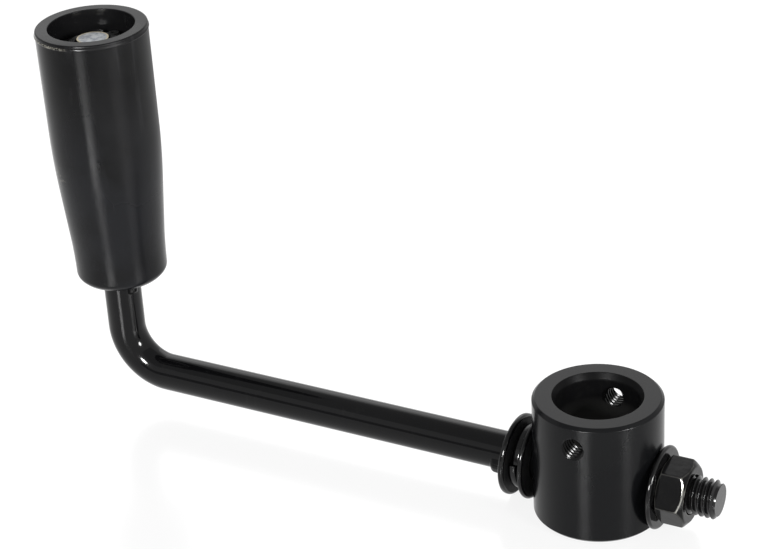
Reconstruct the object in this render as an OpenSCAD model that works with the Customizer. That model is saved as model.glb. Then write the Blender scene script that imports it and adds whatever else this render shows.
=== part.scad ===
// Tarp crank handle: a swivelling bent-rod crank with a free-turning grip.
// Origin on the shaft bore's axis, level with the set screw holes. +Z leaves the bore's mouth,
// the arm runs along X with its grip on the -X side, and the set screw holes run along Y.

/* [Hub collar] */
// Outside diameter of the hub
hub_d = 41.3; // [36:0.1:60]
// Height of the hub
hub_h = 41.3; // [40:0.1:60]
// Bevel on the hub's outer edges
hub_bevel = 1; // [0.2:0.1:2]
// Diameter of the blind bore that slips over the shaft
bore_d = 26.2; // [19:0.1:28]
// Depth of the shaft bore
bore_depth = 20; // [14:0.5:21]
// Bevel at the mouth of the shaft bore
bore_bevel = 1.3; // [0.2:0.1:2]
// Distance from the hub's top down to the arm's axis
arm_drop = 28.2; // [28:0.1:33]
// Distance from the hub's top down to the set screw axis
screw_drop = 8; // [6:0.1:12]
// Diameter of the two tapped set screw holes
screw_d = 7.94; // [5:0.01:9]
// Bevel at the mouths of the set screw holes
screw_bevel = 0.4; // [0.1:0.1:0.8]

/* [Crank arm] */
// Diameter of the rod
rod_d = 12.7; // [10:0.1:13]
// Distance from the hub's axis to the grip's axis
arm_reach = 177.5; // [120:0.5:260]
// Bend radius at the rod's centre line
bend_r = 16; // [12:0.5:24]
// Height of the pressed ears' seat above the arm's axis, under the grip
grip_seat = 33.85; // [33:0.05:50]
// Length of the rod above its retaining ring
end_out = 1.7; // [1:0.1:4]
// Bevel at both ends of the rod
rod_bevel = 1.1; // [0.3:0.1:1.5]
// Length of the thread standing out beyond the nut
thread_out = 9.1; // [4:0.1:16]
// Thread pitch, 13 threads to the inch
thread_pitch = 1.954; // [1.2:0.001:2.2]
// Depth of the thread
thread_depth = 1.2; // [0.5:0.05:1.2]

/* [Pressed ears] */
// How far the ears stand out of the rod
ear_out = 1.9; // [1:0.1:2.5]
// Thickness of an ear
ear_t = 3.6; // [2:0.1:5]
// Length of an ear along the rod, with its ramp
ear_len = 5.4; // [4:0.1:7]
// Length of an ear's ramp
ear_ramp = 1.9; // [1:0.1:3]
// Turn of the ears beside the hub, from Y about the arm's axis
hub_ear_turn = 23; // [-90:1:90]
// Turn of the ears under the grip, from X about the leg's axis
grip_ear_turn = -24; // [-90:1:90]

/* [Washers and nut] */
// Outside diameter of the three flat washers
washer_d = 26.8; // [22:0.1:32]
// Thickness of the flat washers
washer_t = 1.7; // [1:0.1:3]
// Outside diameter of the split lock washer
lock_d = 21.4; // [18:0.1:24]
// Thickness of the split lock washer
lock_t = 3; // [1.6:0.1:4]
// Offset between the two ends of the lock washer
lock_rise = 1.4; // [0.6:0.1:2.5]
// Side of the split on the lock washer, from Y about the arm's axis
lock_split = 155; // [0:1:359]
// Width of the split, in degrees
lock_open = 8; // [4:1:20]
// Width of the nut across its flats
nut_af = 19.05; // [17:0.05:24]
// Thickness of the nut
nut_t = 9.1; // [6:0.1:12]
// Length of the bevel on the nut's outer corners
nut_out_bevel = 1.7; // [0.5:0.1:2.5]

/* [Grip] */
// Diameter of the grip's upper half
grip_d = 37; // [32:0.1:46]
// Diameter of the grip's lower end
grip_low_d = 31; // [24:0.1:31.9]
// Length of the grip
grip_len = 91.8; // [70:0.1:140]
// Length of the lower end, up to where the taper starts
grip_low_len = 10; // [6:0.5:14]
// Length of the straight upper half
grip_straight = 45; // [20:0.5:50]
// Rounding of the grip's top edge
grip_round = 0.8; // [0.5:0.1:2.5]
// Rounding of the grip's bottom edge
grip_foot_round = 2.4; // [0.5:0.1:4]
// Diameter of the recess in the grip's top
recess_d = 28.6; // [26:0.1:28.8]
// Depth of the recess
recess_depth = 9; // [6:0.1:16]

/* [Grip retainers] */
// Outside diameter of the thrust washer under the grip
thrust_d = 19; // [17:0.1:24]
// Thickness of the thrust washer
thrust_t = 1.2; // [0.6:0.1:2]
// Outside diameter of the washer in the recess
cap_d = 24; // [20:0.1:25]
// Thickness of the washer in the recess
cap_t = 1.2; // [0.6:0.1:2]
// Outside diameter of the retaining ring
ring_d = 17.4; // [16:0.1:19]
// Thickness of the retaining ring
ring_t = 1.1; // [0.8:0.05:1.5]
// Depth of the ring's groove in the rod
groove_depth = 0.45; // [0.3:0.05:0.8]
// Diameter of the two eyes on the retaining ring
eye_d = 3.6; // [3:0.1:4]
// Diameter of the plier holes in the eyes
eye_hole_d = 1.6; // [1:0.1:2]
// Side of the ring's eyes, from X about the leg's axis
eye_turn = 100; // [0:1:359]

/* [Clearances] */
// Radial clearance of the rod in the hub
swivel_gap = 0.07; // [0.02:0.01:0.1]
// Radial clearance of the grip on the rod
spin_gap = 0.09; // [0.02:0.01:0.1]
// End play between the hub and each washer beside it
side_gap = 0.15; // [0.05:0.05:0.4]
// End play at each end of the grip
float_gap = 0.25; // [0.1:0.05:0.5]
// Radial clearance of the washers on the rod
washer_gap = 0.4; // [0.2:0.05:0.6]
// Clearance of the nut on the thread, and of the ring in its groove
seat_gap = 0.05; // [0.02:0.01:0.1]

/* [Hidden] */
$fn = 96;
cut_over = 1;
hub_r = hub_d / 2;
bore_r = bore_d / 2;
rod_r = rod_d / 2;
hub_top = screw_drop;
hub_bottom = hub_top - hub_h;
bore_floor = hub_top - bore_depth;
arm_z = hub_top - arm_drop;

// Stations along the arm, outwards from the hub
hub_washer_x = -hub_r - side_gap;
lock_x = hub_washer_x - washer_t;
ear_washer_x = lock_x - lock_t - lock_rise;
hub_ear_x = ear_washer_x - washer_t;
nut_washer_x = hub_r + side_gap;
nut_x = nut_washer_x + washer_t;
thread_start_x = nut_x - thread_pitch;
tip_x = nut_x + nut_t + thread_out;
bend_x = bend_r - arm_reach;
arm_len = tip_x - bend_x;
thread_turns = floor((tip_x - thread_start_x - rod_bevel) / thread_pitch);
thread_half = thread_pitch * 7 / 16;

// Stations up the leg
bend_top = arm_z + bend_r;
leg_ear_z = arm_z + grip_seat;
grip_z = leg_ear_z + thrust_t + float_gap;
grip_top = grip_z + grip_len;
recess_floor = grip_top - recess_depth;
cap_z = recess_floor + float_gap;
ring_z = cap_z + cap_t + seat_gap;
rod_end_z = ring_z + ring_t + seat_gap + end_out;
groove_r = rod_r - groove_depth;

// Turns a piece built up +Z so that it runs along +X from the given place on the arm's axis
module along_arm(x) {
    translate([x, 0, arm_z]) rotate([0, 90, 0]) children();
}

// Moves a piece built up +Z onto the leg's axis at the given height
module on_leg(z) {
    translate([-arm_reach, 0, z]) children();
}

// A plain washer from z = 0 upwards
module flat_washer(d, hole_r, t) {
    difference() {
        cylinder(d = d, h = t);
        translate([0, 0, -cut_over]) cylinder(r = hole_r, h = t + 2 * cut_over);
    }
}

// A set screw hole along Y, on the side given by +1 or -1, with a bevelled mouth
module screw_hole(side) {
    wall = hub_r - bore_r;
    mouth_y = sqrt(hub_r * hub_r - screw_d * screw_d / 4);
    rotate([-90 * side, 0, 0]) {
        translate([0, 0, bore_r - wall / 2]) cylinder(d = screw_d, h = wall * 2);
        translate([0, 0, mouth_y - screw_bevel])
            cylinder(d1 = screw_d, d2 = screw_d + 4 * screw_bevel, h = 2 * screw_bevel);
    }
}

module hub_collar() {
    color([0.16, 0.17, 0.19])
    difference() {
        rotate_extrude() polygon([
            [0, hub_bottom],
            [hub_r - hub_bevel, hub_bottom],
            [hub_r, hub_bottom + hub_bevel],
            [hub_r, hub_top - hub_bevel],
            [hub_r - hub_bevel, hub_top],
            [bore_r + bore_bevel, hub_top],
            [bore_r, hub_top - bore_bevel],
            [bore_r, bore_floor],
            [0, bore_floor]
        ]);
        along_arm(-hub_d) cylinder(r = rod_r + swivel_gap, h = 2 * hub_d);
        screw_hole(1);
        screw_hole(-1);
    }
}

// A pair of opposed ears that end at z = 0 and ramp down below it
module ear_pair() {
    ear_r = rod_r + ear_out;
    core = rod_r / 2;
    for (side = [0, 180])
        rotate([90, 0, side]) translate([0, 0, -ear_t / 2]) linear_extrude(height = ear_t)
            polygon([
                [core, 0],
                [ear_r, 0],
                [ear_r, ear_ramp - ear_len],
                [core, -ear_len - ear_ramp]
            ]);
}

// Core that two neighbouring runs of the rod share, so that they are one bar
module rod_tie() {
    translate([0, 0, -rod_r / 2]) cylinder(r = rod_r / 2, h = rod_r);
}

// The arm, from the bend at z = 0 to its bevelled tip, with a ring groove for each turn of thread
module arm_run() {
    rotate_extrude() polygon([
        [0, 0],
        [rod_r, 0],
        for (k = [thread_turns : -1 : 1])
            let (z = arm_len - rod_bevel - (k - 0.5) * thread_pitch)
            each [
                [rod_r, z - thread_half],
                [rod_r - thread_depth, z],
                [rod_r, z + thread_half]
            ],
        [rod_r, arm_len - rod_bevel],
        [rod_r - rod_bevel, arm_len],
        [0, arm_len]
    ]);
}

// The leg, from the bend at z = 0 up to its bevelled end, with the retaining ring's groove
module leg_run() {
    rotate_extrude() polygon([
        [0, 0],
        [rod_r, 0],
        [rod_r, ring_z - seat_gap - bend_top],
        [groove_r, ring_z - seat_gap - bend_top],
        [groove_r, ring_z + ring_t + seat_gap - bend_top],
        [rod_r, ring_z + ring_t + seat_gap - bend_top],
        [rod_r, rod_end_z - rod_bevel - bend_top],
        [rod_r - rod_bevel, rod_end_z - bend_top],
        [0, rod_end_z - bend_top]
    ]);
}

module crank_arm() {
    $fn = 64;
    color([0.12, 0.12, 0.13]) {
        along_arm(bend_x) {
            arm_run();
            rod_tie();
        }
        translate([bend_x, 0, bend_top]) rotate([-90, 0, 180])
            rotate_extrude(angle = 90) translate([bend_r, 0]) circle(r = rod_r);
        on_leg(bend_top) {
            leg_run();
            rod_tie();
        }
        along_arm(hub_ear_x) rotate([0, 0, 90 + hub_ear_turn]) ear_pair();
        on_leg(leg_ear_z) rotate([0, 0, grip_ear_turn]) ear_pair();
    }
}

module ear_washer() {
    color([0.14, 0.14, 0.15])
        along_arm(ear_washer_x - washer_t) flat_washer(washer_d, rod_r + washer_gap, washer_t);
}

module hub_washer() {
    color([0.14, 0.14, 0.15])
        along_arm(hub_washer_x - washer_t) flat_washer(washer_d, rod_r + washer_gap, washer_t);
}

module nut_washer() {
    color([0.14, 0.14, 0.15])
        along_arm(nut_washer_x) flat_washer(washer_d, rod_r + washer_gap, washer_t);
}

// One turn of square spring wire that climbs by lock_rise, with its split open
lock_steps = 48;
lock_in_r = rod_r + washer_gap;
lock_out_r = lock_d / 2;
function lock_ring(k) =
    let (part = k / lock_steps, a = lock_open / 2 + part * (360 - lock_open), z = part * lock_rise)
    [for (c = [[lock_in_r, 0], [lock_out_r, 0], [lock_out_r, lock_t], [lock_in_r, lock_t]])
        [c[0] * cos(a), c[0] * sin(a), z + c[1]]];
lock_points = [for (k = [0 : lock_steps]) each lock_ring(k)];
lock_sides = [for (k = [0 : lock_steps - 1], s = [0 : 3])
    let (a = 4 * k + s, b = 4 * k + (s + 1) % 4)
    each [[a, a + 4, b + 4], [a, b + 4, b]]];
lock_caps = [[0, 1, 2], [0, 2, 3],
    [4 * lock_steps, 4 * lock_steps + 2, 4 * lock_steps + 1],
    [4 * lock_steps, 4 * lock_steps + 3, 4 * lock_steps + 2]];
lock_gap = 2 * lock_in_r * sin(lock_open / 2);
echo(least_gap_across_the_split_of_the_lock_washer = lock_gap);

module lock_washer() {
    color([0.13, 0.13, 0.14])
        along_arm(lock_x - lock_t - lock_rise) rotate([0, 0, 90 + lock_split])
            polyhedron(points = lock_points, faces = concat(lock_sides, lock_caps));
}

module clamp_nut() {
    corner_r = nut_af / sqrt(3);
    nut_bevel = corner_r - nut_af / 2;
    color([0.12, 0.12, 0.13])
    along_arm(nut_x) difference() {
        intersection() {
            rotate([0, 0, 90]) cylinder(r = corner_r, h = nut_t, $fn = 6);
            rotate_extrude() polygon([
                [0, 0],
                [nut_af / 2 - seat_gap, 0],
                [corner_r + seat_gap, nut_bevel * 0.58],
                [corner_r + seat_gap, nut_t - nut_out_bevel],
                [nut_af / 2 - nut_out_bevel / 2, nut_t],
                [0, nut_t]
            ]);
        }
        translate([0, 0, -cut_over]) cylinder(r = rod_r + seat_gap, h = nut_t + 2 * cut_over);
    }
}

module grip_sleeve() {
    r_top = grip_d / 2;
    r_low = grip_low_d / 2;
    spin_r = rod_r + spin_gap;
    color([0.1, 0.1, 0.11])
    on_leg(grip_z) rotate_extrude() {
        polygon([
            [spin_r, 0],
            [r_low - grip_foot_round, 0],
            [r_low - grip_foot_round, grip_foot_round],
            [r_low, grip_foot_round],
            [r_low, grip_low_len],
            [r_top, grip_len - grip_straight],
            [r_top, grip_len - grip_round],
            [r_top - grip_round, grip_len - grip_round],
            [r_top - grip_round, grip_len],
            [recess_d / 2, grip_len],
            [recess_d / 2, grip_len - recess_depth],
            [spin_r, grip_len - recess_depth]
        ]);
        translate([r_low - grip_foot_round, grip_foot_round]) circle(r = grip_foot_round, $fn = 32);
        translate([r_top - grip_round, grip_len - grip_round]) circle(r = grip_round, $fn = 32);
    }
}

module thrust_washer() {
    color([0.35, 0.34, 0.32])
        on_leg(leg_ear_z) flat_washer(thrust_d, rod_r + washer_gap, thrust_t);
}

module cap_washer() {
    color([0.2, 0.2, 0.21])
        on_leg(cap_z) flat_washer(cap_d, rod_r + washer_gap, cap_t);
}

module retaining_ring() {
    eye_r = ring_d / 2 + eye_d / 4;
    eye_side = eye_d * 0.8;
    split_w = 2 * eye_side - eye_d;
    color([0.3, 0.3, 0.31])
    on_leg(ring_z) rotate([0, 0, eye_turn]) difference() {
        union() {
            cylinder(d = ring_d, h = ring_t);
            for (s = [-1, 1]) translate([eye_r, s * eye_side, 0]) cylinder(d = eye_d, h = ring_t);
        }
        translate([0, 0, -cut_over]) {
            cylinder(r = groove_r + seat_gap, h = ring_t + 2 * cut_over);
            translate([0, -split_w / 2, 0]) cube([ring_d, split_w, ring_t + 2 * cut_over]);
            for (s = [-1, 1]) translate([eye_r, s * eye_side, 0])
                cylinder(d = eye_hole_d, h = ring_t + 2 * cut_over);
        }
    }
}

hub_collar();
crank_arm();
ear_washer();
lock_washer();
hub_washer();
nut_washer();
clamp_nut();
grip_sleeve();
thrust_washer();
cap_washer();
retaining_ring();
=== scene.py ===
import math

import bmesh
import bpy
from mathutils import Matrix, Vector


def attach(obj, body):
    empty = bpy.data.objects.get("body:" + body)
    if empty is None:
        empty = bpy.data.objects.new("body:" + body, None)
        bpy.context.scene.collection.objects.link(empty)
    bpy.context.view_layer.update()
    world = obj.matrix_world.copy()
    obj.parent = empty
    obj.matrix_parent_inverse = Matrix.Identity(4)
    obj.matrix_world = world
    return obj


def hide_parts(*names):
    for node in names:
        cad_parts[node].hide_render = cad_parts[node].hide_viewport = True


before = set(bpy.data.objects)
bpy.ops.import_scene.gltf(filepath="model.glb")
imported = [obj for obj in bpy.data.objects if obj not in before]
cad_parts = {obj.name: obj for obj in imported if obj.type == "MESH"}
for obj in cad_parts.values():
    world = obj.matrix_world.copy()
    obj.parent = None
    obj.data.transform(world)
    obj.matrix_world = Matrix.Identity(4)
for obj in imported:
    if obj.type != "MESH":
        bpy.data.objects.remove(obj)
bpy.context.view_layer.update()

# Camera: the photograph's viewpoint, well above the arm and in front of its nut end, through a
# long lens that is rolled a little to the left.
mm = 0.001
view_azimuth = math.radians(29.652)
view_elevation = math.radians(27.501)
view_roll = math.radians(-3.384)
camera_place = Vector((230.86, -537.42, 357.30)) * mm

level_right = Vector((math.cos(view_azimuth), math.sin(view_azimuth), 0))
backwards = Vector((
    math.sin(view_azimuth) * math.cos(view_elevation),
    -math.cos(view_azimuth) * math.cos(view_elevation),
    math.sin(view_elevation),
))
level_up = backwards.cross(level_right)
camera_right = level_right * math.cos(view_roll) + level_up * math.sin(view_roll)
camera_up = level_up * math.cos(view_roll) - level_right * math.sin(view_roll)
lens = bpy.data.cameras.new("photo_camera")
lens.lens = 103.33
lens.sensor_width = 36
camera = bpy.data.objects.new("photo_camera", lens)
turn = Matrix((camera_right, camera_up, backwards)).transposed().to_4x4()
camera.matrix_world = Matrix.Translation(camera_place) @ turn
bpy.context.scene.collection.objects.link(camera)
bpy.context.scene.camera = camera
bpy.context.scene.view_settings.view_transform = "Standard"


# Studio: a plain pale floor with a satin top, a white surround, two softboxes behind the camera
# and a broad one behind the object. A grey ceiling and a dark skirting show only in reflections.
floor_z = -33.7 * mm
floor_width = 8
paper_white = (1, 1, 1, 1)


def plug(tree, value, socket):
    """Feeds a socket from another socket, or sets it to a plain value."""
    if isinstance(value, bpy.types.NodeSocket):
        tree.links.new(value, socket)
    else:
        socket.default_value = value


def reckoned(tree, operation, *values, clamp=False):
    """The result of a sum on sockets and plain values."""
    node = tree.nodes.new("ShaderNodeMath")
    node.operation = operation
    node.use_clamp = clamp
    for value, socket in zip(values, node.inputs):
        plug(tree, value, socket)
    return node.outputs[0]


def spread(tree, value, low, high, to_low=0, to_high=1):
    """Carries a value from the span low to high over to another span, and holds it at the ends."""
    node = tree.nodes.new("ShaderNodeMapRange")
    for given, socket in ((value, "Value"), (low, "From Min"), (high, "From Max"),
                          (to_low, "To Min"), (to_high, "To Max")):
        plug(tree, given, node.inputs[socket])
    return node.outputs["Result"]


def background_switch(tree):
    """A factor that is 1 for what the camera, a gloss or glass sees, and 0 for the light given."""
    rays = tree.nodes.new("ShaderNodeLightPath").outputs
    seen = reckoned(tree, "ADD", rays["Is Camera Ray"], rays["Is Glossy Ray"])
    return reckoned(tree, "ADD", seen, rays["Is Transmission Ray"], clamp=True)


def sheet_mesh(name, width, height, matrix):
    """A flat rectangle, facing its own +Z."""
    bm = bmesh.new()
    bmesh.ops.create_grid(bm, x_segments=1, y_segments=1, size=0.5,
                          matrix=matrix @ Matrix.Diagonal((width, height, 1, 1)))
    mesh = bpy.data.meshes.new(name)
    bm.to_mesh(mesh)
    bm.free()
    panel = bpy.data.objects.new(name, mesh)
    bpy.context.scene.collection.objects.link(panel)
    return panel


def turned_to(place, aim):
    """The matrix of something at a place that faces a point."""
    facing = (Vector(aim) - Vector(place)).to_track_quat("Z", "Y")
    return Matrix.Translation(place) @ facing.to_matrix().to_4x4()


floor = sheet_mesh("floor", floor_width, floor_width, Matrix.Translation((0, 0, floor_z)))
floor_paint = bpy.data.materials.new("pale_satin_floor")
floor_paint.use_nodes = True
tree = floor_paint.node_tree
nodes, links = tree.nodes, tree.links
nodes.remove(nodes["Principled BSDF"])
matt = nodes.new("ShaderNodeBsdfDiffuse")
matt.inputs["Color"].default_value = (0.8, 0.8, 0.8, 1)
glow = nodes.new("ShaderNodeEmission")
glow.inputs["Color"].default_value = paper_white
glow.inputs["Strength"].default_value = 1
both = nodes.new("ShaderNodeMixShader")
links.new(reckoned(tree, "MULTIPLY", background_switch(tree), 0.85), both.inputs[0])
links.new(matt.outputs[0], both.inputs[1])
links.new(glow.outputs[0], both.inputs[2])
satin = nodes.new("ShaderNodeBsdfAnisotropic")
satin.inputs["Color"].default_value = (0.085, 0.085, 0.085, 1)
satin.inputs["Roughness"].default_value = 0.21
topped = nodes.new("ShaderNodeAddShader")
links.new(both.outputs[0], topped.inputs[0])
links.new(satin.outputs[0], topped.inputs[1])
links.new(topped.outputs[0], nodes["Material Output"].inputs["Surface"])
floor.data.materials.append(floor_paint)

world = bpy.data.worlds.new("white_surround")
bpy.context.scene.world = world
world.use_nodes = True
tree = world.node_tree
surround = tree.nodes["Background"].inputs
surround["Color"].default_value = paper_white
plug(tree, spread(tree, background_switch(tree), 0, 1, 0.5, 1), surround["Strength"])


def reflected_card(name, place, aim, width, height, grey):
    """A plain card that shows only in reflections."""
    panel = sheet_mesh(name, width, height, turned_to(place, aim))
    paint = bpy.data.materials.new(name)
    paint.use_nodes = True
    nodes, links = paint.node_tree.nodes, paint.node_tree.links
    nodes.remove(nodes["Principled BSDF"])
    tone = nodes.new("ShaderNodeEmission")
    tone.inputs["Color"].default_value = paper_white
    tone.inputs["Strength"].default_value = grey
    links.new(tone.outputs[0], nodes["Material Output"].inputs["Surface"])
    panel.data.materials.append(paint)
    panel.visible_camera = False
    panel.visible_diffuse = False
    panel.visible_transmission = False
    panel.visible_shadow = False


def softbox(name, place, aim, width, height, watts, face):
    """A rectangular studio light that faces a point, and its bright face as gloss shows it."""
    lamp = bpy.data.lights.new(name, "AREA")
    lamp.shape = "RECTANGLE"
    lamp.size = width
    lamp.size_y = height
    lamp.energy = watts
    box = bpy.data.objects.new(name, lamp)
    box.matrix_world = turned_to(place, aim) @ Matrix.Rotation(math.pi, 4, "Y")
    box.visible_camera = False
    box.visible_glossy = False
    bpy.context.scene.collection.objects.link(box)
    reflected_card(name + "_face", place, aim, width, height, face)


middle = (-0.08, 0, 0)
reflected_card("grey_ceiling", (-0.08, -0.1, 1.2), middle, width=2.0, height=2.0, grey=0.55)
reflected_card("dark_skirting", (-0.70, -1.26, 0.2), (-0.08, 0, 0.2), width=0.8, height=0.32,
               grey=0.3)
softbox("left_softbox", (-0.037, -1.5, 0.70), middle, width=0.36, height=0.28, watts=12,
        face=130)
softbox("right_softbox", (1.36, -0.42, 0.55), middle, width=0.36, height=0.28, watts=12,
        face=90)
softbox("rear_softbox", (-0.97, 1.56, 0.94), middle, width=1.6, height=0.9, watts=2.2,
        face=1.9)


# Hub collar: a short length of steel bar, turned and bored from the top to slip over a shaft,
# cross-drilled low down for the arm, and tapped near the top on both sides for set screws.
# It has a satin black coating.
hub_r = 20.65 * mm
hub_top = 8 * mm
hub_bottom = -33.3 * mm
hub_bevel = 1 * mm
bore_r = 13.1 * mm
bore_floor = -12 * mm
bore_bevel = 1.3 * mm
bore_bevel_depth = 2.0 * mm
arm_z = -20.2 * mm
arm_hole_r = 6.42 * mm
screw_hole_r = 3.97 * mm
screw_thread_depth = 0.7 * mm
screw_pitch = 1.411 * mm
tap_start = 10 * mm
tap_length = 14 * mm
lead_in = 0.8 * mm
lead_in_depth = 1.2 * mm
edge_round = 0.15 * mm
bore_round = 0.5 * mm

ALONG_X = Matrix.Rotation(math.pi / 2, 4, "Y")


def outline(bm, points, rounds, closed=False, segments=4):
    """A row of edges in the XZ plane through (radius, height) points, with its corners rounded."""
    row = [bm.verts.new((r, 0, z)) for r, z in points]
    for a, b in zip(row, row[1:] + (row[:1] if closed else [])):
        bm.edges.new((a, b))
    for size in sorted(set(rounds) - {0}):
        bmesh.ops.bevel(bm, geom=[v for v, s in zip(row, rounds) if s == size], offset=size,
                        offset_type="OFFSET", segments=segments, profile=0.5,
                        affect="VERTICES", material=-1)


def turned(points, rounds, closed=False, segments=4, steps=128):
    """A lathe-turned solid about Z, from an open row or closed ring of (radius, height) points."""
    bm = bmesh.new()
    outline(bm, points, rounds, closed, segments)
    bmesh.ops.spin(bm, geom=bm.verts[:] + bm.edges[:], cent=(0, 0, 0), axis=(0, 0, 1),
                   angle=math.tau, steps=steps, use_merge=True)
    bmesh.ops.remove_doubles(bm, verts=bm.verts, dist=1e-7)
    bmesh.ops.recalc_face_normals(bm, faces=bm.faces)
    return bm


def screw_thread(root_r, crest_r, pitch, length, steps=48):
    """A right-hand screw up Z from 0 to length, with flat roots and rounded crests."""
    bm = bmesh.new()
    flank = (crest_r - root_r) * math.tan(math.radians(30))
    crest = pitch / 8
    row = []
    for k in range(math.ceil(length / pitch) + 3):
        z = (k - 2) * pitch
        row += [(root_r, z), (crest_r, z + flank), (crest_r, z + flank + crest),
                (root_r, z + 2 * flank + crest)]
    outline(bm, row, [0, crest * 0.45, crest * 0.45, 0] * (len(row) // 4))
    bmesh.ops.spin(bm, geom=bm.verts[:] + bm.edges[:], cent=(0, 0, 0), axis=(0, 0, 1),
                   dvec=(0, 0, pitch / steps), angle=math.tau, steps=steps)
    bmesh.ops.remove_doubles(bm, verts=bm.verts, dist=1e-6)
    for z, side in ((0, -1), (length, 1)):
        bmesh.ops.bisect_plane(bm, geom=bm.verts[:] + bm.edges[:] + bm.faces[:], dist=1e-7,
                               plane_co=(0, 0, z), plane_no=(0, 0, side), clear_outer=True)
        rim = [e for e in bm.edges
               if e.is_boundary and all(abs(v.co.z - z) < 1e-6 for v in e.verts)]
        bmesh.ops.contextual_create(bm, geom=rim)
    bmesh.ops.recalc_face_normals(bm, faces=bm.faces)
    return bm


def bare_object(bm, name, *materials):
    """An object at the origin that holds the mesh, painted with its materials."""
    mesh = bpy.data.meshes.new(name)
    bm.to_mesh(mesh)
    bm.free()
    for material in materials:
        mesh.materials.append(material)
    piece = bpy.data.objects.new(name, mesh)
    bpy.context.scene.collection.objects.link(piece)
    return piece


def settle(piece):
    """Applies the object's modifiers to its mesh."""
    shape = bpy.data.meshes.new_from_object(
        piece.evaluated_get(bpy.context.evaluated_depsgraph_get()))
    piece.modifiers.clear()
    piece.data = shape


def cut(piece, cutter_bm):
    """Cuts a shape out of an object's mesh."""
    cutter = bare_object(cutter_bm, "cutter", *piece.data.materials)
    tool = piece.modifiers.new("cut", "BOOLEAN")
    tool.object = cutter
    tool.operation = "DIFFERENCE"
    tool.solver = "EXACT"
    settle(piece)
    bpy.data.objects.remove(cutter)


def dress(piece, body, slot, *nodes):
    """Shades an object smoothly between its edges and gives it its place in the part."""
    piece.data.shade_smooth()
    piece.data.set_sharp_from_angle(angle=math.radians(40))
    weigh = piece.modifiers.new("even_shading", "WEIGHTED_NORMAL")
    weigh.keep_sharp = True
    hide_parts(*nodes)
    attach(piece, body)


def noise(tree, place, scale, detail, roughness=0.5):
    """A cloudy pattern over the surface, from 0 to 1."""
    node = tree.nodes.new("ShaderNodeTexNoise")
    for given, socket in ((place, "Vector"), (scale, "Scale"), (detail, "Detail"),
                          (roughness, "Roughness")):
        plug(tree, given, node.inputs[socket])
    return node.outputs["Fac"]


def mixed(tree, factor, first, second):
    """A colour that goes from the first to the second as the factor goes from 0 to 1."""
    node = tree.nodes.new("ShaderNodeMix")
    node.data_type = "RGBA"
    for given, socket in ((factor, "Factor"), (first, "A"), (second, "B")):
        plug(tree, given, node.inputs[socket])
    return node.outputs["Result"]


def measured(tree, operation, place, other):
    """Each spot's distance from a point, or its reach along a direction."""
    node = tree.nodes.new("ShaderNodeVectorMath")
    node.operation = operation
    plug(tree, place, node.inputs[0])
    plug(tree, other, node.inputs[1])
    return node.outputs["Value"]


def shared_effect(name, inputs, outputs):
    """A node group, with what it is given and what it puts out."""
    group = bpy.data.node_groups.new(name, "ShaderNodeTree")
    for in_out, sockets in (("INPUT", inputs), ("OUTPUT", outputs)):
        for kind, names in sockets:
            for socket in names:
                group.interface.new_socket(name=socket, in_out=in_out,
                                           socket_type="NodeSocket" + kind)
    given = group.nodes.new("NodeGroupInput").outputs
    made = group.nodes.new("NodeGroupOutput").inputs
    return group, given, made


# Fine lumps, cloudy gloss and settled dust, shared by every coated or moulded surface
coated_surface, given, made = shared_effect(
    "coated_surface",
    [("Vector", ["Vector"]), ("Color", ["Clean", "Dusty"]),
     ("Float", ["Dust", "Gloss Low", "Gloss High", "Lump Scale"])],
    [("Color", ["Color"]), ("Float", ["Roughness", "Height"])])
tree = coated_surface
cloud = noise(tree, given["Vector"], 55, 5)
plug(tree, spread(tree, cloud, 0.3, 0.7, given["Gloss Low"], given["Gloss High"]),
     made["Roughness"])
specks = spread(tree, noise(tree, given["Vector"], 420, 6, 0.7), 0.5, 0.85)
settled = reckoned(tree, "MULTIPLY", specks, given["Dust"])
plug(tree, mixed(tree, settled, given["Clean"], given["Dusty"]), made["Color"])
plug(tree, noise(tree, given["Vector"], given["Lump Scale"], 3), made["Height"])

# Scuffs drawn out along Z and cloudy smudges, which lighten and dull a surface
handling_marks, given, made = shared_effect(
    "handling_marks",
    [("Vector", ["Vector"]), ("Color", ["Color", "Mark Color"]),
     ("Float", ["Roughness", "Scuffs", "Smudges"])],
    [("Color", ["Color"]), ("Float", ["Roughness"])])
tree = handling_marks
drawn = tree.nodes.new("ShaderNodeMapping")
drawn.inputs["Rotation"].default_value = (0.10, 0.16, 0)
drawn.inputs["Scale"].default_value = (1, 1, 0.09)
plug(tree, given["Vector"], drawn.inputs["Vector"])
marks = []
for vector, scale, low, high, amount in (
        (drawn.outputs["Vector"], 330, 0.60, 0.74, "Scuffs"),
        (given["Vector"], 34, 0.44, 0.72, "Smudges")):
    picked = spread(tree, noise(tree, vector, scale, 4), low, high)
    marks.append(reckoned(tree, "MULTIPLY", picked, given[amount]))
marked = reckoned(tree, "ADD", *marks, clamp=True)
plug(tree, mixed(tree, marked, given["Color"], given["Mark Color"]), made["Color"])
plug(tree, reckoned(tree, "MULTIPLY_ADD", marked, 0.12, given["Roughness"], clamp=True),
     made["Roughness"])


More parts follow.
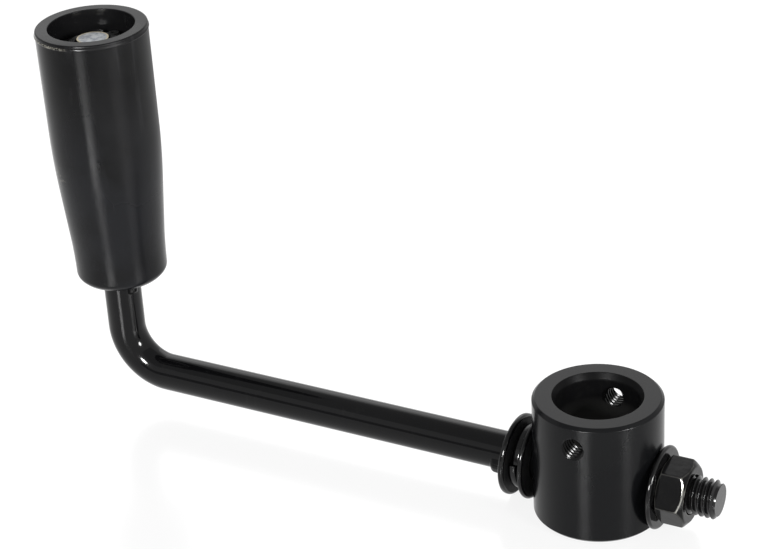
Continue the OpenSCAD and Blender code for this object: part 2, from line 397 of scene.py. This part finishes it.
def coating(name, clean, dusty, dust, gloss, lump_scale, lump_depth, specular, metallic=0.0,
            scuffs=0.0, smudges=0.0, mark=(0.03, 0.03, 0.029)):
    """A coated, moulded or bare surface: colour, gloss from low to high, fine lumps and marks."""
    material = bpy.data.materials.new(name)
    material.use_nodes = True
    tree = material.node_tree
    shader = tree.nodes["Principled BSDF"].inputs
    shader["Metallic"].default_value = metallic
    shader["Specular IOR Level"].default_value = specular
    coordinates = tree.nodes.new("ShaderNodeTexCoord")
    coordinates.name = "coordinates"
    place = coordinates.outputs["Object"]
    look = tree.nodes.new("ShaderNodeGroup")
    look.node_tree = coated_surface
    for value, socket in ((place, "Vector"), ((*clean, 1), "Clean"), ((*dusty, 1), "Dusty"),
                          (dust, "Dust"), (gloss[0], "Gloss Low"), (gloss[1], "Gloss High"),
                          (lump_scale, "Lump Scale")):
        plug(tree, value, look.inputs[socket])
    worn = tree.nodes.new("ShaderNodeGroup")
    worn.name = "marks"
    worn.node_tree = handling_marks
    for value, socket in ((place, "Vector"), (look.outputs["Color"], "Color"),
                          (look.outputs["Roughness"], "Roughness"), ((*mark, 1), "Mark Color"),
                          (scuffs, "Scuffs"), (smudges, "Smudges")):
        plug(tree, value, worn.inputs[socket])
    plug(tree, worn.outputs["Color"], shader["Base Color"])
    plug(tree, worn.outputs["Roughness"], shader["Roughness"])
    bump = tree.nodes.new("ShaderNodeBump")
    bump.inputs["Strength"].default_value = 1
    bump.inputs["Distance"].default_value = lump_depth
    plug(tree, look.outputs["Height"], bump.inputs["Height"])
    plug(tree, bump.outputs["Normal"], shader["Normal"])
    return material


def opened(material):
    """A coating's node tree, the places on its surface, its marked coat and its shader's inputs."""
    tree = material.node_tree
    return (tree, tree.nodes["coordinates"].outputs["Object"], tree.nodes["marks"].outputs,
            tree.nodes["Principled BSDF"].inputs)


hub_coat = coating("satin_black_coat", clean=(0.0033, 0.0035, 0.0041),
                   dusty=(0.0052, 0.0053, 0.0056), dust=0.4, gloss=(0.17, 0.24), lump_scale=900,
                   lump_depth=0.002 * mm, specular=0.14, smudges=0.08)
tapped_coat = coating("oiled_black_thread", clean=(0.004, 0.004, 0.004),
                      dusty=(0.015, 0.015, 0.014), dust=0.4, gloss=(0.16, 0.22), lump_scale=900,
                      lump_depth=0.006 * mm, specular=0.13)
# The bore and its bevel are duller than the coat. Their colour turns paler low down, a painted fill
# light that lifts the shade deep in the bore.
bare_wall_painted_fill = coating("bare_bore_wall_painted_fill", clean=(0.005, 0.005, 0.0053), dusty=(0.015, 0.015, 0.014),
                    dust=0.4, gloss=(0.32, 0.4), lump_scale=900, lump_depth=0.006 * mm,
                    specular=0.04)
tree, place, coat, shader = opened(bare_wall_painted_fill)
depth = spread(tree, measured(tree, "DOT_PRODUCT", place, (0, 0, 1)), 0, bore_floor)
plug(tree, mixed(tree, depth, coat["Color"], (0.07, 0.069, 0.066, 1)), shader["Base Color"])

bar = turned(
    [(0, hub_bottom), (hub_r - hub_bevel, hub_bottom), (hub_r, hub_bottom + hub_bevel),
     (hub_r, hub_top - hub_bevel), (hub_r - hub_bevel, hub_top), (bore_r + bore_bevel, hub_top),
     (bore_r, hub_top - bore_bevel_depth), (bore_r, bore_floor), (0, bore_floor)],
    [0, *[edge_round] * 5, bore_round, bore_round, 0])
for face in bar.faces:
    centre = face.calc_center_median()
    in_mouth = centre.xy.length < bore_r + bore_bevel and centre.z < hub_top - 0.05 * mm
    if in_mouth and centre.z > bore_floor - 0.01 * mm:
        face.material_index = 2
hub = bare_object(bar, "hub_bar", hub_coat, tapped_coat, bare_wall_painted_fill)
arm_hole = bmesh.new()
bmesh.ops.create_cone(arm_hole, cap_ends=True, segments=96, radius1=arm_hole_r,
                      radius2=arm_hole_r, depth=3 * hub_r,
                      matrix=Matrix.Translation((0, 0, arm_z)) @ ALONG_X)
cut(hub, arm_hole)
for side in (-1, 1):
    outwards = Matrix.Rotation(-side * math.pi / 2, 4, "X")
    tap = screw_thread(screw_hole_r - screw_thread_depth, screw_hole_r, screw_pitch, tap_length)
    bmesh.ops.transform(tap, matrix=outwards @ Matrix.Translation((0, 0, tap_start)),
                        verts=tap.verts)
    for face in tap.faces:
        face.material_index = 1
    cut(hub, tap)
    mouth = bmesh.new()
    bmesh.ops.create_cone(mouth, cap_ends=True, segments=64, radius1=screw_hole_r - lead_in,
                          radius2=screw_hole_r + lead_in, depth=lead_in_depth,
                          matrix=outwards @ Matrix.Translation((0, 0, hub_r)))
    cut(hub, mouth)
dress(hub, "hub", "hub_paint", "hub_collar")


# Crank arm: one half-inch round bar, bent once to a right angle, with a coarse thread on its hub
# end and a bevelled end inside the grip. It is painted gloss black except for its sawn end, which
# shows bare steel. Two pairs of ears are pressed out of it, beside the hub and under the grip.
rod_r = 6.35 * mm
leg_x = -177.5 * mm
bend_r = 16 * mm
thread_r = 6.2 * mm
thread_start = 20.55 * mm
arm_tip = 40.7 * mm
thread_pitch = 1.954 * mm
thread_depth = 1.05 * mm
thread_overlap = 1 * mm
rod_bevel = 1.1 * mm
rod_end = 102.2 * mm
groove_low = 99.3 * mm
groove_high = 100.55 * mm
groove_depth = 0.45 * mm
ear_out = 8.5 * mm
ear_root_r = rod_r * 0.5
ear_root_extra = 3 * mm
ear_tip_share, ear_root_share = 0.8, 1.2
ear_round_share = 0.26
hub_ears_x = -28.95 * mm
hub_ears_width = 5.2 * mm
hub_ears_length = 5.0 * mm
hub_ears_turn = math.radians(23 - 90)
hub_ears_apart = math.radians(163)
grip_ears_z = 13.65 * mm
grip_ears_width = 3.2 * mm
grip_ears_length = 2.6 * mm
grip_ears_turn = math.radians(-24)


def pull(bm, loop, offset, scale=1.0, centre=(0, 0, 0)):
    """Extrudes a loop of edges, moves and scales the new loop, and returns it."""
    made = bmesh.ops.extrude_edge_only(bm, edges=loop)["geom"]
    verts = [g for g in made if isinstance(g, bmesh.types.BMVert)]
    bmesh.ops.translate(bm, vec=offset, verts=verts)
    if scale != 1.0:
        bmesh.ops.scale(bm, vec=(scale,) * 3, space=Matrix.Translation(-Vector(centre)),
                        verts=verts)
    new_verts = set(verts)
    return [g for g in made if isinstance(g, bmesh.types.BMEdge) and set(g.verts) <= new_verts]


bm = bmesh.new()
bmesh.ops.create_circle(bm, cap_ends=True, segments=64, radius=rod_r,
                        matrix=Matrix.Translation((thread_start, 0, arm_z)) @ ALONG_X)
loop = pull(bm, bm.edges[:], (leg_x + bend_r - thread_start, 0, 0))
bent = bmesh.ops.spin(bm, geom=loop + list(dict.fromkeys(v for e in loop for v in e.verts)),
                      cent=(leg_x + bend_r, 0, arm_z + bend_r), axis=(0, 1, 0),
                      angle=math.pi / 2, steps=24)["geom_last"]
loop = [g for g in bent if isinstance(g, bmesh.types.BMEdge)]
leg_foot = arm_z + bend_r
groove_scale = (rod_r - groove_depth) / rod_r
loop = pull(bm, loop, (0, 0, groove_low - leg_foot))
loop = pull(bm, loop, (0, 0, 0), groove_scale, (leg_x, 0, groove_low))
loop = pull(bm, loop, (0, 0, groove_high - groove_low))
loop = pull(bm, loop, (0, 0, 0), 1 / groove_scale, (leg_x, 0, groove_high))
loop = pull(bm, loop, (0, 0, rod_end - rod_bevel - groove_high))
loop = pull(bm, loop, (0, 0, rod_bevel), (rod_r - rod_bevel) / rod_r, (leg_x, 0, rod_end))
for face in bmesh.ops.contextual_create(bm, geom=loop)["faces"]:
    face.material_index = 1
bmesh.ops.recalc_face_normals(bm, faces=bm.faces)

# The threaded end: rolled thread, with its tip bevelled through the crests
screw_start = thread_start - thread_overlap
screw_length = arm_tip - screw_start
screw = screw_thread(thread_r - thread_depth, thread_r, thread_pitch, screw_length, 64)
for v in screw.verts:
    limit = thread_r - rod_bevel + (screw_length - v.co.z)
    reach = math.hypot(v.co.x, v.co.y)
    if reach > limit:
        v.co.x *= limit / reach
        v.co.y *= limit / reach
bmesh.ops.transform(screw, verts=screw.verts,
                    matrix=Matrix.Translation((screw_start, 0, arm_z)) @ ALONG_X)
for face in screw.faces:
    face.material_index = 2
screw_mesh = bpy.data.meshes.new("screw")
screw.to_mesh(screw_mesh)
screw.free()
bm.from_mesh(screw_mesh)


def ear_pair(bm, seat, width, length, apart):
    """Two lugs that stand out of the rod on either side, flat at height 0 and blunt below it."""
    for half in (0, apart):
        made = bmesh.ops.create_cube(bm, size=1)["verts"]
        faces = list(dict.fromkeys(f for v in made for f in v.link_faces))
        for v in made:
            out, across, up = v.co
            v.co.x = ear_out if out > 0 else ear_root_r
            v.co.y = width * across * (ear_tip_share if out > 0 else ear_root_share)
            v.co.z = 0 if up > 0 else (-length if out > 0 else -length - ear_root_extra)
        edges = list(dict.fromkeys(e for f in faces for e in f.edges))
        rounded = bmesh.ops.bevel(bm, geom=edges, offset=width * ear_round_share,
                                  offset_type="OFFSET", segments=6, profile=0.5,
                                  affect="EDGES", material=-1)
        faces = rounded["faces"] + [f for f in faces if f.is_valid]
        verts = list(dict.fromkeys(v for f in faces for v in f.verts))
        bmesh.ops.transform(bm, matrix=seat @ Matrix.Rotation(half, 4, "Z"), verts=verts)


# The ears beside the hub aren't quite level, so the washer on them leans out on its near side
lean = Matrix.Rotation(math.radians(-1.7), 4, "Z") @ Matrix.Rotation(math.radians(1.8), 4, "Y")
ear_pair(bm, Matrix.Translation((hub_ears_x, 0, arm_z)) @ lean @ ALONG_X
         @ Matrix.Rotation(hub_ears_turn, 4, "Z"), hub_ears_width, hub_ears_length, hub_ears_apart)
ear_pair(bm, Matrix.Translation((leg_x, 0, grip_ears_z)) @ Matrix.Rotation(grip_ears_turn, 4, "Z"),
         grip_ears_width, grip_ears_length, math.pi)
arm_coat = coating("gloss_black_paint", clean=(0.003, 0.003, 0.0034),
                   dusty=(0.0065, 0.0065, 0.0066), dust=0.4, gloss=(0.07, 0.12), lump_scale=260,
                   lump_depth=0.02 * mm, specular=0.195, scuffs=0.1)
sawn_steel = coating("sawn_steel", clean=(0.20, 0.215, 0.24), dusty=(0.15, 0.14, 0.11), dust=1.0,
                     gloss=(0.4, 0.55), lump_scale=1200, lump_depth=0.05 * mm, specular=0.5,
                     metallic=1.0)
thread_coat = coating("thin_black_thread", clean=(0.005, 0.005, 0.0053),
                      dusty=(0.02, 0.02, 0.018), dust=0.5, gloss=(0.12, 0.2), lump_scale=420,
                      lump_depth=0.03 * mm, specular=0.3)
# The sawn face is mottled, and a paler cream-coloured line runs round its edge
tree, place, coat, shader = opened(sawn_steel)
polished = spread(tree, noise(tree, place, 650, 3), 0.42, 0.6)
mottled = mixed(tree, polished, coat["Color"], (0.36, 0.375, 0.385, 1))
from_middle = measured(tree, "DISTANCE", place, (leg_x, 0, rod_end))
at_edge = spread(tree, from_middle, 4.5 * mm, 5.0 * mm)
plug(tree, mixed(tree, at_edge, mottled, (0.42, 0.37, 0.26, 1)), shader["Base Color"])
arm = bare_object(bm, "bent_rod", arm_coat, sawn_steel, thread_coat)
dress(arm, "arm", "rod_paint", "crank_arm")


# Washers: three stamped steel flat washers, painted with the arm, one against the pressed ears
# and one on each side of the hub.
washer_r = 13.45 * mm
washer_hole_r = 6.75 * mm
washer_t = 1.7 * mm
washer_round = 0.8 * mm
ear_washer_x = -28.8 * mm
hub_washer_x = -22.5 * mm
nut_washer_x = 20.8 * mm
washer_coat = coating("thick_black_paint", clean=(0.0035, 0.0035, 0.0038),
                      dusty=(0.008, 0.008, 0.0078), dust=0.5, gloss=(0.11, 0.16), lump_scale=330,
                      lump_depth=0.035 * mm, specular=0.155)
rim_coat = coating("glossy_washer_rim", clean=(0.0025, 0.0025, 0.0028),
                   dusty=(0.006, 0.006, 0.0058), dust=0.5, gloss=(0.10, 0.14), lump_scale=330,
                   lump_depth=0.02 * mm, specular=0.27)
# The washers' flat faces are duller, and coloured paler as a painted fill light in the shaded gaps
# beside them
dull_face_painted_fill = coating("dull_washer_face_painted_fill", clean=(0.02, 0.02, 0.021), dusty=(0.05, 0.046, 0.04),
                    dust=0.5, gloss=(0.45, 0.55), lump_scale=500, lump_depth=0.03 * mm,
                    specular=0.06)


def ring(inner, outer, thickness, rounding):
    """A flat ring about Z, rounded on its outer edges."""
    points = [(inner, 0), (outer, 0), (outer, thickness), (inner, thickness)]
    hole_rounding = rounding * 0.4
    return turned(points, [hole_rounding, rounding, rounding, hole_rounding], closed=True,
                  steps=96)


# The ear and hub washers' flat faces take that paler coat: painted fill light where they sit in
# shade
for name, node, x, thickness, tilt, face_coat in (
        ("washer_by_ears", "ear_washer", ear_washer_x, washer_t + 0.3 * mm, lean, dull_face_painted_fill),
        ("washer_by_hub", "hub_washer", hub_washer_x, washer_t, Matrix(), dull_face_painted_fill),
        ("washer_by_nut", "nut_washer", nut_washer_x, washer_t, Matrix(), washer_coat)):
    bm = ring(washer_hole_r, washer_r, thickness, washer_round)
    for face in bm.faces:
        if abs(face.normal.z) > 0.99:
            face.material_index = 1
    bmesh.ops.transform(bm, verts=bm.verts,
                        matrix=Matrix.Translation((x, 0, arm_z)) @ tilt @ ALONG_X)
    dress(bare_object(bm, name, rim_coat, face_coat), "arm", "washer_paint", node)


# Lock washer: one turn of square spring steel wire between the two washers left of the hub,
# painted with them. Its ends are sprung apart, so that its split stands open.
lock_start = -26.9 * mm
lock_outer_r = 10.7 * mm
lock_t = 3.0 * mm
lock_rise = 1.4 * mm
lock_round = 1.0 * mm
lock_split = math.radians(168)
lock_open = math.radians(4)
lock_steps = 88

bm = bmesh.new()
row = [bm.verts.new((r, 0, z)) for r, z in ((washer_hole_r, 0), (lock_outer_r, 0),
                                            (lock_outer_r, lock_t), (washer_hole_r, lock_t))]
bm.faces.new(row)
bmesh.ops.bevel(bm, geom=bm.verts[:], offset=lock_round, offset_type="OFFSET", segments=3,
                profile=0.5, affect="VERTICES", material=-1)
bmesh.ops.rotate(bm, matrix=Matrix.Rotation(lock_open / 2, 3, "Z"), verts=bm.verts)
bmesh.ops.spin(bm, geom=bm.verts[:] + bm.edges[:] + bm.faces[:], cent=(0, 0, 0), axis=(0, 0, 1),
               dvec=(0, 0, lock_rise / lock_steps), angle=math.tau - lock_open, steps=lock_steps)
bmesh.ops.recalc_face_normals(bm, faces=bm.faces)
bmesh.ops.transform(bm, verts=bm.verts, matrix=Matrix.Translation((lock_start, 0, arm_z)) @ ALONG_X
                    @ Matrix.Rotation(math.pi / 2 + lock_split, 4, "Z"))
dress(bare_object(bm, "split_lock_washer", rim_coat), "arm", "spring_paint", "lock_washer")


# Nut: a hexagon nut, bevelled on both faces and painted with the arm. Bare steel on its edges is
# partly paint rubbed off by spanners and partly a painted highlight along the edges.
nut_start = 22.5 * mm
nut_t = 9.3 * mm
nut_flats = 19.05 * mm
nut_corner_r = nut_flats / math.sqrt(3)
nut_z = arm_z - 0.2 * mm
nut_turn = Matrix.Rotation(math.radians(3.5), 4, "X")
nut_bore_r = 6.4 * mm
nut_bore_bevel = 1 * mm
mesh_step = 0.17 * mm
nut_coat = coating("rubbed_paint_and_painted_highlight", clean=(0.0035, 0.0035, 0.0038),
                   dusty=(0.014, 0.014, 0.013), dust=0.5, gloss=(0.08, 0.14), lump_scale=330,
                   lump_depth=0.04 * mm, specular=0.11)
# The outer edge of the front flat is the barest: there the bare steel is a painted highlight
flat_facing = nut_turn @ Vector((0, -math.cos(math.pi / 6), math.sin(math.pi / 6)))
rim_z = nut_t - 0.7 * mm
rim_middle = Vector((nut_start + rim_z, 0, nut_z)) + flat_facing * nut_flats / 2
flat_reach = rim_middle.dot(flat_facing)
tree, place, coat, shader = opened(nut_coat)
pointed = tree.nodes.new("ShaderNodeNewGeometry").outputs["Pointiness"]
bulge = spread(tree, pointed, 0.506, 0.522)
on_flat = spread(tree, measured(tree, "DOT_PRODUCT", place, flat_facing),
                 flat_reach - 1.1 * mm, flat_reach - 0.7 * mm, 0.1)
from_highlight_spot = measured(tree, "DISTANCE", place, rim_middle)
wear_and_highlight_reach = spread(tree, from_highlight_spot, 5.7 * mm, 5.1 * mm, 0.1, on_flat)
wear_and_highlight_patch = spread(tree, noise(tree, place, 420, 3), 0.25, 0.45, 0, wear_and_highlight_reach)
rubbed_and_painted_highlight = reckoned(tree, "MULTIPLY", bulge, wear_and_highlight_patch)
plug(tree, mixed(tree, rubbed_and_painted_highlight, coat["Color"], (0.55, 0.54, 0.5, 1)), shader["Base Color"])
plug(tree, rubbed_and_painted_highlight, shader["Metallic"])

bm = bmesh.new()
bmesh.ops.create_circle(bm, cap_ends=True, segments=6, radius=nut_corner_r)
pull(bm, bm.edges[:], (0, 0, nut_t))
bmesh.ops.contextual_create(bm, geom=[e for e in bm.edges if e.is_boundary])
bmesh.ops.recalc_face_normals(bm, faces=bm.faces)
nut = bare_object(bm, "hexagon_nut", nut_coat)
# The corners are turned off on both faces, and the tapped hole gets its lead-ins
envelope = bare_object(turned(
    [(0, 0), (nut_flats / 2 - 0.2 * mm, 0), (nut_corner_r + 0.4 * mm, 1.0 * mm),
     (nut_corner_r + 0.2 * mm, nut_t - 1.9 * mm), (nut_flats / 2 - 0.55 * mm, nut_t), (0, nut_t)],
    [0] * 6), "envelope")
shaping = nut.modifiers.new("bevelled_corners", "BOOLEAN")
shaping.object = envelope
shaping.operation = "INTERSECT"
shaping.solver = "EXACT"
settle(nut)
bpy.data.objects.remove(envelope)
wide, narrow = nut_bore_r + nut_bore_bevel, nut_bore_r - nut_bore_bevel
for z, r1, r2, depth in ((0, nut_bore_r, nut_bore_r, 4 * nut_t),
                         (0, wide, narrow, 2 * nut_bore_bevel),
                         (nut_t, narrow, wide, 2 * nut_bore_bevel)):
    bm = bmesh.new()
    bmesh.ops.create_cone(bm, cap_ends=True, segments=64, radius1=r1, radius2=r2, depth=depth,
                          matrix=Matrix.Translation((0, 0, z)))
    cut(nut, bm)
bm = bmesh.new()
bm.from_mesh(nut.data)
bmesh.ops.transform(bm, verts=bm.verts, matrix=Matrix.Translation((nut_start, 0, nut_z))
                    @ nut_turn @ ALONG_X)
bm.to_mesh(nut.data)
bm.free()
# A fine even mesh lets its edges be rubbed down
even = nut.modifiers.new("even_mesh", "REMESH")
even.mode = "VOXEL"
even.voxel_size = mesh_step
worn_edges = nut.modifiers.new("worn_edges", "SMOOTH")
worn_edges.factor = 0.5
worn_edges.iterations = 16
settle(nut)
dress(nut, "arm", "nut_paint", "clamp_nut")


# Grip: a moulded black sleeve that turns on the leg, straight above and tapered below, with a
# recess in its top for the retainers. Its skin is semi-gloss and lightly scuffed.
grip_foot = 15.1 * mm
grip_top = 91.6 * mm
grip_r = 18.5 * mm
grip_low_r = 15.5 * mm
grip_lean_pivot = 60 * mm
bead = 90.0 * mm
recess_r = 14.3 * mm
recess_floor = 82.8 * mm

# Each corner of its section: radius, height above the foot and rounding
corners = [(7.4 * mm, 0, 0.3 * mm), (13.3 * mm, 0, 1.0 * mm),
           (grip_low_r, 2.2 * mm, 1.0 * mm), (grip_low_r, 10 * mm, 6 * mm),
           (18.3 * mm, 45.5 * mm, 8 * mm),
           (grip_r, 89.6 * mm, 0), (18.85 * mm, 90.05 * mm, 0.22 * mm), (grip_r, 90.5 * mm, 0),
           (grip_r, grip_top, 0.6 * mm), (recess_r, grip_top, 0.3 * mm),
           (recess_r, recess_floor, 0.5 * mm), (6.7 * mm, recess_floor, 0.3 * mm)]
bm = turned([corner[:2] for corner in corners], [corner[2] for corner in corners], closed=True,
            segments=6)
for face in bm.faces:
    centre = face.calc_center_median()
    if centre.xy.length < recess_r + 0.01 * mm and centre.z > recess_floor - 0.8 * mm:
        face.material_index = 1
    elif centre.z > grip_top - 0.2 * mm:
        face.material_index = 2
# The grip is loose on the rod: its foot hangs a little to one side and its top leans forwards
towards_camera = Vector((math.sin(view_azimuth), -math.cos(view_azimuth), 0))
sideways = Matrix.Rotation(math.radians(0.4), 4, towards_camera)
forwards = Matrix.Rotation(math.radians(0.7), 4, level_right)
bmesh.ops.transform(bm, verts=bm.verts,
                    matrix=Matrix.Translation((leg_x, 0, grip_foot + grip_lean_pivot))
                    @ forwards @ Matrix.Translation((0, 0, grip_top - grip_lean_pivot))
                    @ sideways @ Matrix.Translation((0, 0, -grip_top)))
# The recess is coloured much paler than the grip's skin, a painted fill light that lifts the shade
# inside it
recess_plastic_painted_fill = coating("moulded_recess_painted_fill", clean=(0.0085, 0.0085, 0.009),
                         dusty=(0.012, 0.012, 0.0118), dust=0.5, gloss=(0.15, 0.3),
                         lump_scale=700, lump_depth=0.006 * mm, specular=0.12)
worn_rim = coating("worn_grip_rim", clean=(0.0085, 0.0085, 0.0092), dusty=(0.016, 0.016, 0.0158),
                   dust=0.5, gloss=(0.22, 0.36), lump_scale=700, lump_depth=0.01 * mm,
                   specular=0.08)
grip_plastic = coating("moulded_black_plastic", clean=(0.0015, 0.0015, 0.0018),
                       dusty=(0.006, 0.006, 0.0062), dust=0.5, gloss=(0.10, 0.18), lump_scale=700,
                       lump_depth=0.002 * mm, specular=0.155, scuffs=0.3, smudges=0.2,
                       mark=(0.032, 0.032, 0.034))
tree, place, coat, shader = opened(grip_plastic)
height = measured(tree, "DOT_PRODUCT", place, (0, 0, 1))
across = measured(tree, "DOT_PRODUCT", place, level_right)
leg_across = leg_x * level_right.x
# The bead is chipped on its left side, and the left flank has a grazed spot
on_bead = reckoned(tree, "COMPARE", height, grip_foot + bead, 0.35 * mm)
on_left = spread(tree, across, leg_across - 6 * mm, leg_across - 10 * mm)
flaked = spread(tree, noise(tree, place, 1700, 4), 0.42, 0.6)
chips = reckoned(tree, "MULTIPLY", reckoned(tree, "MULTIPLY", on_bead, on_left), flaked)
knock = Vector((leg_x, 0, 57 * mm)) - level_right * grip_low_r + towards_camera * 7 * mm
near_knock = spread(tree, measured(tree, "DISTANCE", place, knock), 6 * mm, 1.5 * mm, 0, 0.6)
grazed = spread(tree, noise(tree, place, 900, 5), 0.52, 0.68)
bared = reckoned(tree, "MULTIPLY_ADD", near_knock, grazed, chips)
# A haze lies on the lower part
hazy = spread(tree, noise(tree, place, 70, 3), 0.3, 0.6)
low_down = spread(tree, height, grip_foot + 72 * mm, grip_foot + 45 * mm)
hazed = mixed(tree, reckoned(tree, "MULTIPLY", hazy, low_down), coat["Color"],
              (0.0095, 0.0098, 0.0115, 1))
plug(tree, mixed(tree, bared, hazed, (0.22, 0.21, 0.18, 1)), shader["Base Color"])
# Hands have dulled the grip: its lower half a little, and the upper half's right side more
upper = spread(tree, height, grip_foot + 30 * mm, grip_foot + 55 * mm)
on_right = spread(tree, across, leg_across - 3 * mm, leg_across + 3 * mm)
held = reckoned(tree, "MULTIPLY", upper, on_right)
held_gloss = reckoned(tree, "MULTIPLY_ADD", held, 0.27, coat["Roughness"])
lower_gloss = spread(tree, upper, 0, 1, 0.07, 0)
plug(tree, reckoned(tree, "ADD", held_gloss, lower_gloss), shader["Roughness"])
dress(bare_object(bm, "turning_grip", grip_plastic, recess_plastic_painted_fill, worn_rim),
      "grip", "grip_plastic", "grip_sleeve")


# Grip retainers: a thrust washer on the ears under the grip, and a washer and a spring ring with
# two eyes in the recess on top, which hold the grip down.
retainer_t = 1.2 * mm
cap_washer_z = 98.15 * mm
for name, node, slot, outer, low, shade in (
        ("washer_under_grip", "thrust_washer", "bare_steel", 9.5 * mm, grip_ears_z, 0.35),
        ("washer_in_recess", "cap_washer", "cap_steel", 12.0 * mm, cap_washer_z, 0.03)):
    bm = ring(washer_hole_r, outer, retainer_t, 0.2 * mm)
    bmesh.ops.translate(bm, vec=(leg_x, 0, low), verts=bm.verts)
    steel = coating(name + "_steel", clean=(shade,) * 3, dusty=(shade * 0.5,) * 3, dust=0.5,
                    gloss=(0.25, 0.4), lump_scale=900, lump_depth=0.03 * mm, specular=0.5,
                    metallic=0.9)
    dress(bare_object(bm, name, steel), "arm", slot, node)

spring_steel = coating("dark_spring_steel", clean=(0.12, 0.12, 0.12), dusty=(0.05, 0.05, 0.05),
                       dust=0.4, gloss=(0.2, 0.35), lump_scale=900, lump_depth=0.02 * mm,
                       specular=0.5, metallic=0.9)
ring_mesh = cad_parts["retaining_ring"].data
ring_mesh.materials.clear()
ring_mesh.materials.append(spring_steel)
